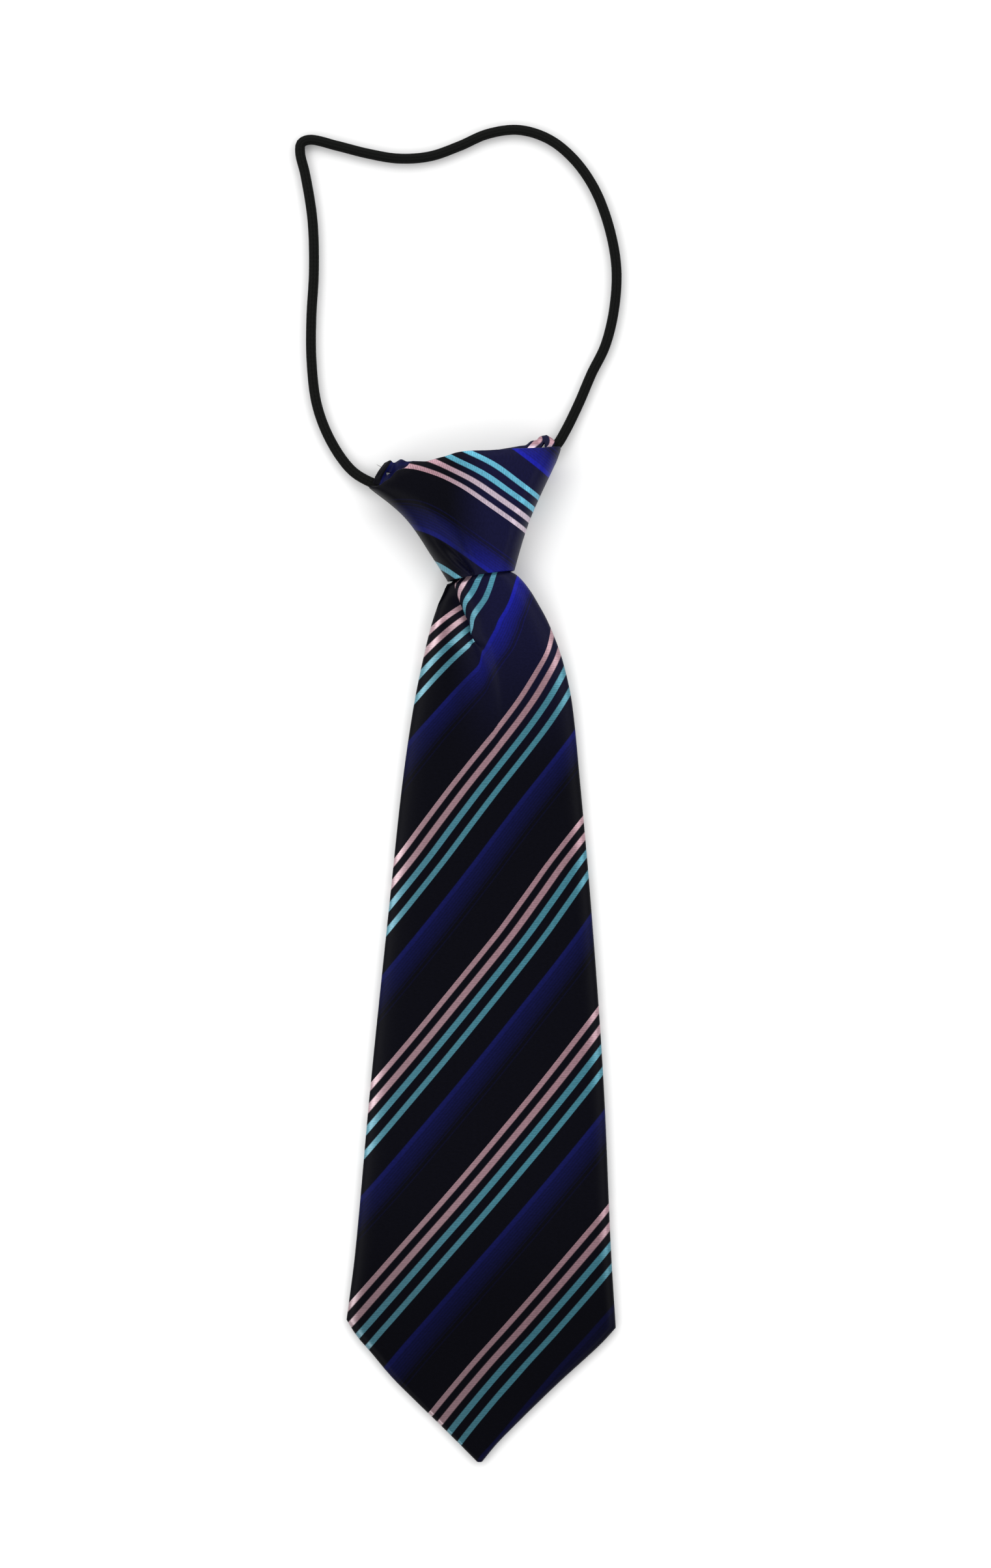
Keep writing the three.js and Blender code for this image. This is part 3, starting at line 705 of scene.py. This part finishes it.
def woven_satin():
    """Woven polyester satin. Long floats of yarn give the navy ground its deep, soft gloss, and the
    pink and teal stripes are ribbed and catch more light."""
    settings = {
        "Roughness": SATIN_ROUGHNESS,
        "Specular IOR Level": SATIN_SPECULAR,
        "Coat Roughness": SKIN_ROUGHNESS,
        "Coat IOR": SKIN_IOR,
    }
    material, tree, shader = new_material("woven_satin", settings)
    uv = add_node(tree, "ShaderNodeUVMap", {"uv_map": "cloth"})
    slant = add_node(
        tree,
        "ShaderNodeVectorMath",
        {"operation": "DOT_PRODUCT", 1: (*STRIPE_SLANT, 0)},
        {0: uv},
    )
    shifted = add_node(
        tree,
        "ShaderNodeMath",
        {"operation": "MULTIPLY_ADD", 1: 1 / (PATTERN * MM), 2: -PATTERN_START / PATTERN},
        {0: slant.outputs["Value"]},
    )
    repeat = add_node(tree, "ShaderNodeMath", {"operation": "FRACT"}, {0: shifted})
    yarns = add_node(tree, "ShaderNodeValToRGB", links={0: repeat})
    fill_ramp(yarns.color_ramp, yarn_stops())
    blues = add_node(tree, "ShaderNodeValToRGB", links={0: repeat})
    fill_ramp(blues.color_ramp, blue_stops())
    shows = add_node(tree, "ShaderNodeSeparateColor", links={0: yarns})

    place = add_node(tree, "ShaderNodeTexCoord")
    where = add_node(tree, "ShaderNodeSeparateXYZ", links={0: place.outputs["Object"]})
    apart = add_node(tree, "ShaderNodeSeparateXYZ", links={0: uv})
    stretched = add_node(
        tree,
        "ShaderNodeMapping",
        {"Scale": (THREAD_STRETCH / THREAD_PITCH, 1 / THREAD_PITCH, 1)},
        {0: uv},
    )
    threads = add_node(tree, "ShaderNodeTexNoise", {"Scale": 1.0, "Detail": 2.0}, {0: stretched})
    value = {"x": where.outputs["X"], "y": where.outputs["Y"], "slant": slant.outputs["Value"]}
    value |= {"length": apart.outputs["Y"], "threads": threads, "blues": blues}
    value["pink_shows"], value["teal_shows"] = shows.outputs[:2]
    for name, (source, ease, start, end, first, last) in CHANGES.items():
        value[name] = add_node(
            tree,
            "ShaderNodeMapRange",
            {"interpolation_type": ease, 1: start, 2: end, 3: first, 4: last},
            {0: value[source]},
        )
    value["blue_painted_light"] = add_node(tree, "ShaderNodeValToRGB", links={0: value["over_fold"]})
    fill_ramp(value["blue_painted_light"].color_ramp, [(at, (v, v, v)) for at, v in BLUE_PAINTED_LIGHT])
    for name, (operation, *taken) in STEPS.items():
        numbers = {i: item for i, item in enumerate(taken) if not isinstance(item, str)}
        values = {i: value[item] for i, item in enumerate(taken) if isinstance(item, str)}
        value[name] = add_node(tree, "ShaderNodeMath", {"operation": operation, **numbers}, values)

    # Each yarn is mixed by its mask from its flat colour to its lighter, lit copy: painted light.
    masks = {"ground": "lit", "blue": "blue_lit", "pink": "ribbed_lit", "teal": "ribbed_lit"}
    woven = None
    for yarn, mask in masks.items():
        colour = add_node(
            tree,
            "ShaderNodeMix",
            {"data_type": "RGBA", 6: linear(FLAT_YARNS[yarn]), 7: linear(PAINTED_LIT_YARNS[yarn])},
            {0: value[mask]},
        )
        if woven:
            colour = add_node(
                tree,
                "ShaderNodeMix",
                {"data_type": "RGBA"},
                {0: value[yarn + "_shows"], 6: woven.outputs[2], 7: colour.outputs[2]},
            )
        woven = colour
    shaded = add_node(
        tree,
        "ShaderNodeVectorMath",
        {"operation": "SCALE"},
        {0: woven.outputs[2], "Scale": value["yarn_shade"]},
    )
    bump = add_node(
        tree,
        "ShaderNodeBump",
        {"Strength": WEAVE_STRENGTH, "Distance": WEAVE_RELIEF},
        {"Height": value["height"]},
    )
    tree.links.new(shaded.outputs[0], shader.inputs["Base Color"])
    tree.links.new(value["metal"].outputs[0], shader.inputs["Metallic"])
    tree.links.new(value["skin"].outputs[0], shader.inputs["Coat Weight"])
    tree.links.new(bump.outputs[0], shader.inputs["Normal"])
    return material


satin = woven_satin()
blade_cloth.data.materials.append(satin)
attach(blade_cloth, "root")
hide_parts("blade")

# The knot is a sleeve of the same satin, folded over a stiff core that does not show. It is wide at
# its mouth, where the neckband lies across it, and its foot grips the pleated neck of the blade. Its
# two side edges are folded to the back and meet there in a seam.
KNOT_HEM = 0.0009  # from the outer face of the wall to the inner face of its turned-in hem
KNOT_LAYER = 0.00035  # thickness of one layer of the satin there
KNOT_FOOT_HEM = 0.004  # how far the hem reaches in at the foot
KNOT_MOUTH_HEM = 0.009  # and at the mouth
KNOT_COLUMNS = 90  # columns of the cloth grid across the front, and across the back
KNOT_STEP = 0.0007  # distance between its rows
FOOT_ROWS = 5  # rows of it on the hem in the foot
LIP_ROWS = 8  # and round each lip
MOUTH_ROWS = 8  # and on the hem in the mouth
KNOT_EDGE = 0.3  # share of the knot's height at which its side folds turn
UNDER_FOLD = 0.003  # width over which the back falls from a side fold to the table
LEFT_CUT = 0.0042  # how much shorter than the front its sides and back are at the mouth
RIGHT_CUT = 0.0030
BACK_CUT = 0.0055
CORNER = 0.012  # share of the width in which the front edge climbs over a cut side
SEAM_WIDTH = 0.0007  # the seam at the back is a groove between two folded edges
SEAM_DEPTH = 0.0004

KNOT_KEYS = "y left right tilt back front roll_left roll_right crown"
KNOT = [
    (0.1026, -0.0092, 0.0092, 0.0030, 0, 0.0097, 0.005, 0.005, 0.0003),
    (0.1062, -0.0114, 0.0102, 0.0032, 0, 0.0108, 0.006, 0.005, 0.0004),
    (0.1109, -0.0144, 0.0116, 0.0034, 0, 0.0116, 0.007, 0.005, 0.0006),
    (0.1162, -0.0176, 0.0135, 0.0040, 0, 0.0122, 0.007, 0.006, 0.0010),
    (0.1213, -0.0210, 0.0160, 0.0054, 0, 0.0124, 0.007, 0.006, 0.0017),
    (0.1267, -0.0256, 0.0191, 0.0078, 0, 0.0123, 0.007, 0.006, 0.0023),
    (0.1312, -0.0302, 0.0218, 0.0102, 0, 0.0119, 0.007, 0.006, 0.0029),
    (0.1329, -0.0320, 0.0228, 0.0111, 0, 0.0114, 0.007, 0.006, 0.0031),
]

# How far the front's edge at the mouth rises above its plain curve, at each share of the width.
BRIM_KEYS = "share ahead"
BRIM = [
    (0, 0),
    (0.03, -0.0010),
    (0.058, -0.0015),
    (0.095, -0.0009),
    (0.12, -0.0006),
    (0.14, 0.0005),
    (0.155, 0.0009),
    (0.197, 0.0008),
    (0.222, 0.0019),
    (0.255, 0.0014),
    (0.31, 0.0006),
    (0.40, 0.0006),
    (0.456, 0.0009),
    (0.65, -0.0002),
    (0.88, -0.0005),
    (1, 0),
]

# Soft folds fan out from the foot, in degrees from the right, each so wide and so high.
FOOT_MIDDLE = (-0.0003, 0.1010)
KNOT_FOLDS = [
    (148, 8, 0.0005),
    (133, 7, -0.0013),
    (114, 7, 0.0004),
]
FOLD_START = 0.004  # distance from the foot at which the folds have begun
FOLD_END = 0.056  # and at which they have died out

# The knot's stripes lean the other way from the blade's, are a little closer, and bend up towards the
# left corner.
KNOT_SLANT = (0.574, 0.819)  # across them, in x and y
KNOT_CLOSER = 1.13
KNOT_FROM = 0.1007  # this place across the knot lies
KNOT_PATTERN = 0.03542  # here in the pattern
BEND_FROM = 0.008  # the bend starts this far to the left of the middle
BEND_WIDTH = 0.022
BEND = 20  # it shifts them by so much times the square of the way gone since

# Near the mouth the cloth is drawn over the edge at the left, and a little back from it at the right.
DRAWN_LEFT = 0.0018
DRAWN_FALL = 0.0026  # how much less it is at the right
DRAWN_ACROSS = (0.0096, 0.018)  # where that starts, left of the middle, and over which width
DRAWN_ALONG = (0.66, 0.36)  # and from which share of the knot's length, and over how much of it


def knot_weave(x, y, part):
    """Where a point of the knot lies in the woven cloth."""
    bend = min(max(0, -x - BEND_FROM), BEND_WIDTH)
    drawn = DRAWN_LEFT - DRAWN_FALL * smooth((x + DRAWN_ACROSS[0]) / DRAWN_ACROSS[1])
    drawn *= smooth((part - DRAWN_ALONG[0]) / DRAWN_ALONG[1])
    over = KNOT_SLANT[0] * x + KNOT_SLANT[1] * y
    across = KNOT_PATTERN + KNOT_CLOSER * (over - KNOT_FROM) + BEND * bend**2 + drawn
    along = -KNOT_SLANT[1] * x + KNOT_SLANT[0] * y
    a, b = STRIPE_SLANT
    return across * a - along * b, across * b + along * a


def fold_height(x, y):
    """How far the knot's soft folds lift its front at a point."""
    away = (x - FOOT_MIDDLE[0], y - FOOT_MIDDLE[1])
    distance = math.hypot(*away)
    angle = math.degrees(math.atan2(away[1], away[0]))
    out = smooth((distance - FOLD_START) / (FOLD_END - FOLD_START))
    fade = smooth(distance / FOLD_START) * (1 - out)
    return fade * sum(high * math.exp(-(((angle - at) / wide) ** 2)) for at, wide, high in KNOT_FOLDS)


def mouth_cut(share, behind):
    """How far below the front's top edge the mouth lies there."""
    side = LEFT_CUT if share < 0.5 else RIGHT_CUT
    if behind:
        return side + (BACK_CUT - side) * math.sin(math.pi * share)
    climb = min(share, 1 - share) / CORNER
    return side * max(0, 1 - climb) ** 2


def knot_spot(part, share, behind, inset, lip, turned):
    """A point of the sleeve: part is 0 at the foot and 1 at the mouth, share 0 at the left and 1 at
    the right. It lies inset from the outer face, lip beyond the edge, and turned is how much cloth
    there is between it and the edge when it lies on a hem."""
    foot, mouth = KNOT[0][0], KNOT[-1][0]
    row = row_at(knot_rows, "y", foot + part * (mouth - mouth_cut(share, behind) - foot))
    width = math.hypot(row["right"] - row["left"], row["tilt"])
    clear = width - 2 * inset
    edge = row["back"] + (row["front"] - row["back"]) * KNOT_EDGE
    from_left, from_right = share * clear, (1 - share) * clear
    at = (inset + from_left) / width
    x = row["left"] + (row["right"] - row["left"]) * at
    y = row["y"] + (at - 0.5) * row["tilt"]
    if behind:
        rise = rolled(from_left, UNDER_FOLD) * rolled(from_right, UNDER_FOLD)
        level = row["back"] + inset + SEAM_DEPTH * math.exp(-(((share - 0.5) * width / SEAM_WIDTH) ** 2))
        lift = 0
        from_side = x - row["left"] if share < 0.5 else row["right"] - x
        flat_x = row["left"] - from_side if share < 0.5 else row["right"] + from_side
    else:
        rise = rolled(from_left, row["roll_left"] - inset) * rolled(from_right, row["roll_right"] - inset)
        level = row["front"] - inset
        y += row["crown"] * math.sin(math.pi * share)
        y += row_at(brim_rows, "share", share)["ahead"] * part**4
        lift = fold_height(x, y) * rise
        flat_x = x
    z = edge + (level - edge) * rise + lift
    return (x, y + lip, z), knot_weave(flat_x, y + turned, part)


def knot_profile():
    """The sleeve's lengthwise path, from the hem in the foot round its lip, up the outer face, and
    round the lip of the mouth to the hem there: part, inset, lip and turned for each row."""
    length = KNOT[-1][0] - KNOT[0][0]
    radius = KNOT_HEM / 2
    start, end = radius / length, 1 - radius / length
    path = []
    for k in range(FOOT_ROWS, 0, -1):
        deep = KNOT_FOOT_HEM * k / FOOT_ROWS
        path.append((start + deep / length, KNOT_HEM, 0, -2 * deep - math.pi * radius))
    for k in range(LIP_ROWS + 1):
        turn = math.pi * k / LIP_ROWS
        inset, lip = radius * (1 + math.cos(turn)), -radius * math.sin(turn)
        path.append((start, inset, lip, -radius * (math.pi - turn)))
    rows = round(length / KNOT_STEP)
    path += [(start + (end - start) * k / rows, 0, 0, 0) for k in range(1, rows)]
    for k in range(LIP_ROWS + 1):
        turn = math.pi * k / LIP_ROWS
        inset, lip = radius * (1 - math.cos(turn)), radius * math.sin(turn)
        path.append((end, inset, lip, radius * turn))
    for k in range(1, MOUTH_ROWS + 1):
        deep = KNOT_MOUTH_HEM * k / MOUTH_ROWS
        path.append((end - deep / length, KNOT_HEM, 0, 2 * deep + math.pi * radius))
    return path


knot_rows = named_rows(KNOT_KEYS, KNOT)
brim_rows = named_rows(BRIM_KEYS, BRIM)
edge_shares = [(1 - math.cos(math.pi * i / KNOT_COLUMNS)) / 2 for i in range(KNOT_COLUMNS + 1)]
half = KNOT_COLUMNS // 2
around = [(share, True) for share in reversed(edge_shares[1 : half + 1])]
around += [(share, False) for share in edge_shares]
around += [(share, True) for share in reversed(edge_shares[half:-1])]
knot_sections = [
    [knot_spot(part, share, behind, inset, lip, turned) for share, behind in around]
    for part, inset, lip, turned in knot_profile()
]
knot_sleeve = cloth_piece("knot_sleeve", knot_sections, joined_sides=True)
give_wall(knot_sleeve, KNOT_LAYER)
knot_sleeve.data.materials.append(satin)
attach(knot_sleeve, "root")
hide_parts("knot")

# The neckband is a strip of the satin, folded double over the elastic and pushed through the mouth
# of the knot. Both its ends are gathered on the elastic and stick out at the knot's upper corners.
BAND_LAYER = 0.0007
BAND_HOLLOW = 0.00175  # half the height of the space that the elastic lies in
BAND_WALL = 0.001  # from that space to the outer face
BAND_PINCH = 0.0005  # how much of that height the two ends lose, where they grip the elastic
BAND_PINCHED = 0.005  # length of each end that is pinched
BAND_FLAT = 0.0012  # how far its two layers run on past the elastic before they close
BAND_COLUMNS = 60  # columns of the cloth grid round the fold
BAND_STEP = 0.0003  # distance between its rows
BAND_BULGE_LEFT = 0.0004  # how far the left end's edge bows out
BAND_BULGE_RIGHT = 0.0014  # and the right end's
BAND_SLACK_LEFT = 0.0018  # how much less the left end's stripes are pulled beside the elastic
GATHER_HEIGHT = 1.5  # how high a gather stands up, as a share of how far its edge stands out
BAND_CLOSING = 1.6  # power of the curve in which the two layers close towards the fold

# Each row runs from the elastic to the fold, and its stripes are shifted by the pull.
BAND_KEYS = "x y z fold_x fold_y legs pull"
BAND = [
    (-0.0299, 0.1283, 0.0028, -0.0264, 0.1342, 0.0002, 0.0160),
    (-0.0263, 0.1272, 0.0033, -0.0236, 0.1345, 0.0006, 0.0193),
    (-0.0210, 0.1267, 0.0041, -0.0200, 0.1344, 0.0020, 0.0172),
    (-0.0120, 0.1276, 0.0042, -0.0130, 0.1342, 0.0030, 0.0153),
    (-0.0020, 0.1303, 0.0042, -0.0035, 0.1360, 0.0030, 0.0129),
    (0.0080, 0.1330, 0.0042, 0.0060, 0.1377, 0.0030, 0.0104),
    (0.0140, 0.1346, 0.0040, 0.0118, 0.1388, 0.0020, 0.0086),
    (0.0178, 0.1363, 0.0032, 0.0154, 0.1407, 0.0006, 0.0086),
    (0.0198, 0.1380, 0.0028, 0.0178, 0.1417, 0.0002, 0.0100),
]

# The gathers: how far the folded edge stands out or in, along that edge.
GATHER_KEYS = "fold_x out"
GATHERS = [
    (-0.0264, -0.0003),
    (-0.0253, 0.0003),
    (-0.0238, -0.0006),
    (-0.0222, 0.0004),
    (-0.0203, -0.0002),
    (-0.0185, 0),
    (0.0105, 0),
    (0.0122, -0.0002),
    (0.0137, 0.0001),
    (0.0150, -0.0003),
    (0.0163, 0.0001),
    (0.0176, -0.0001),
]

# Two gaps stay open between the gathers, each a small triangle seen from above.
GAPS = [
    [(-0.0262, 0.1312), (-0.0246, 0.1313), (-0.0260, 0.1303)],
    [(0.0162, 0.1378), (0.0174, 0.1396), (0.0176, 0.1378)],
]

THREAD_ENDS = ((-0.0274, 0.1326, 0.0036), (-0.0288, 0.1334, 0.0036))  # from the cloth to its tip
THREAD_RADIUS = 0.00006


def band_section(row):
    """One row of the neckband's cloth, from the back layer's edge over the fold to the front's."""
    reach = math.dist((row["x"], row["y"]), (row["fold_x"], row["fold_y"]))
    ahead = ((row["fold_x"] - row["x"]) / reach, (row["fold_y"] - row["y"]) / reach)
    gather = row_at(gather_rows, "fold_x", row["fold_x"])["out"]
    at_left = 1 - smooth((row["x"] - BAND[0][0]) / BAND_PINCHED)
    at_right = 1 - smooth((BAND[-1][0] - row["x"]) / BAND_PINCHED)
    tall = BAND_HOLLOW + BAND_WALL - BAND_PINCH * max(at_left, at_right)
    bulge = BAND_BULGE_RIGHT * at_right - BAND_BULGE_LEFT * at_left
    spots = []
    for i in range(BAND_COLUMNS + 1):
        turn = math.pi * i / BAND_COLUMNS
        side = 1 if turn > math.pi / 2 else -1
        far = math.sin(turn)
        along = -row["legs"] + (reach + gather + row["legs"]) * far
        closed = max(0, (along - BAND_FLAT) / (reach + gather - BAND_FLAT))
        up = side * tall * math.sqrt(max(0, 1 - closed**BAND_CLOSING))
        spots.append((along, up + GATHER_HEIGHT * gather * math.sin(math.pi * min(closed, 1)) * side))
    slack = BAND_SLACK_LEFT * at_left
    placed = []
    for i, (along, up) in enumerate(spots):
        share = min(max(along / reach, 0), 1)
        moved = (row["pull"] - slack * (1 - share)) / STRIPE_SLANT[0]
        out = bulge * math.sin(math.pi * share)
        x = row["x"] + ahead[0] * along + out
        y = row["y"] + ahead[1] * along
        flat = along if i > BAND_COLUMNS // 2 else 2 * (reach + gather) - along
        weave = (row["x"] + ahead[0] * flat + moved, row["y"] + ahead[1] * flat)
        placed.append(((x, y, row["z"] + up), weave))
    return placed


def cut_gap(piece, corners):
    """Cuts a triangle, given anticlockwise or clockwise in plan, out of both layers of a piece."""
    cloth = bmesh.new()
    cloth.from_mesh(piece.data)
    sides = list(zip(corners, corners[1:] + corners[:1]))
    for (ax, ay), (bx, by) in sides:
        bmesh.ops.bisect_plane(
            cloth,
            geom=[*cloth.verts, *cloth.edges, *cloth.faces],
            plane_co=(ax, ay, 0),
            plane_no=(by - ay, ax - bx, 0),
        )

    def inside(face):
        x, y, _ = face.calc_center_median()
        turns = [(bx - ax) * (y - ay) - (by - ay) * (x - ax) for (ax, ay), (bx, by) in sides]
        return all(t > 0 for t in turns) or all(t < 0 for t in turns)

    bmesh.ops.delete(cloth, geom=[face for face in cloth.faces if inside(face)], context="FACES")
    cloth.to_mesh(piece.data)
    cloth.free()


gather_rows = named_rows(GATHER_KEYS, GATHERS)
band_rows = named_rows(BAND_KEYS, BAND)
band_count = round((BAND[-1][0] - BAND[0][0]) / BAND_STEP)
band_sections = []
for k in range(band_count + 1):
    x = BAND[0][0] + (BAND[-1][0] - BAND[0][0]) * k / band_count
    band_sections.append(band_section(row_at(band_rows, "x", x)))
neck_band = cloth_piece("neck_band", band_sections)
for corners in GAPS:
    cut_gap(neck_band, corners)
give_wall(neck_band, BAND_LAYER)
neck_band.data.materials.append(satin)

# One yarn of the cloth has come loose at the left end. It joins the mesh once the wall is made.
walled_band = bmesh.new()
walled_band.from_object(neck_band, bpy.context.evaluated_depsgraph_get())
start, end = (Vector(point) for point in THREAD_ENDS)
yarn = bmesh.ops.create_cone(
    walled_band,
    cap_ends=True,
    segments=8,
    radius1=THREAD_RADIUS,
    radius2=THREAD_RADIUS / 2,
    depth=(end - start).length,
)
turned_to = (end - start).to_track_quat("Z", "Y").to_matrix()
bmesh.ops.rotate(walled_band, verts=yarn["verts"], matrix=turned_to)
bmesh.ops.translate(walled_band, verts=yarn["verts"], vec=(start + end) / 2)
neck_band.modifiers.clear()
walled_band.to_mesh(neck_band.data)
walled_band.free()
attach(neck_band, "root")
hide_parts("neckband")

# The table is one wide sheet of white paper, and the light comes from all round it, brightest half-way
# up, as in a light tent whose top is left open for the camera.
TABLE_SIZE = 8.0
TABLE_WHITE = "#dedede"
PAPER_ROUGHNESS = 0.9

table_mesh = bmesh.new()
bmesh.ops.create_grid(table_mesh, x_segments=1, y_segments=1, size=TABLE_SIZE / 2)
table_data = bpy.data.meshes.new("table")
table_mesh.to_mesh(table_data)
table_mesh.free()
table = bpy.data.objects.new("table", table_data)
scene.collection.objects.link(table)

# The paper is uncoated, so it gives no gloss.
settings = {"Base Color": linear(TABLE_WHITE), "Roughness": PAPER_ROUGHNESS}
paper, _, _ = new_material("white_paper", settings)
table_data.materials.append(paper)

# How bright the tent is, from the horizon at 0 to straight overhead at 1.
TENT = [
    (0.0, 0.5),
    (0.25, 1.0),
    (0.45, 1.8),
    (0.60, 2.8),
    (0.74, 3.0),
    (0.84, 1.1),
    (0.92, 0.15),
    (1.0, 0.08),
]
TENT_LEAN = (-0.15, 0.45, 0)  # brighter by so much to the left and past the neck loop, darker opposite
TENT_PEAK = max(strength for _, strength in TENT)

world = bpy.data.worlds.new("light_tent")
scene.world = world
world.use_nodes = True
tent = world.node_tree
tent.nodes.clear()
direction = add_node(tent, "ShaderNodeTexCoord")
skyward = add_node(tent, "ShaderNodeSeparateXYZ", links={0: direction.outputs["Generated"]})
glow = add_node(tent, "ShaderNodeValToRGB", links={0: skyward.outputs["Z"]})
fill_ramp(glow.color_ramp, [(at, [v / TENT_PEAK] * 3) for at, v in TENT])
lean = add_node(
    tent,
    "ShaderNodeVectorMath",
    {"operation": "DOT_PRODUCT", 1: TENT_LEAN},
    {0: direction.outputs["Generated"]},
)
sides = add_node(
    tent,
    "ShaderNodeMath",
    {"operation": "MULTIPLY_ADD", 1: TENT_PEAK, 2: TENT_PEAK},
    {0: lean.outputs["Value"]},
)
light = add_node(tent, "ShaderNodeBackground", links={"Color": glow, "Strength": sides})
add_node(tent, "ShaderNodeOutputWorld", links={"Surface": light})

scene.view_settings.view_transform = "Standard"
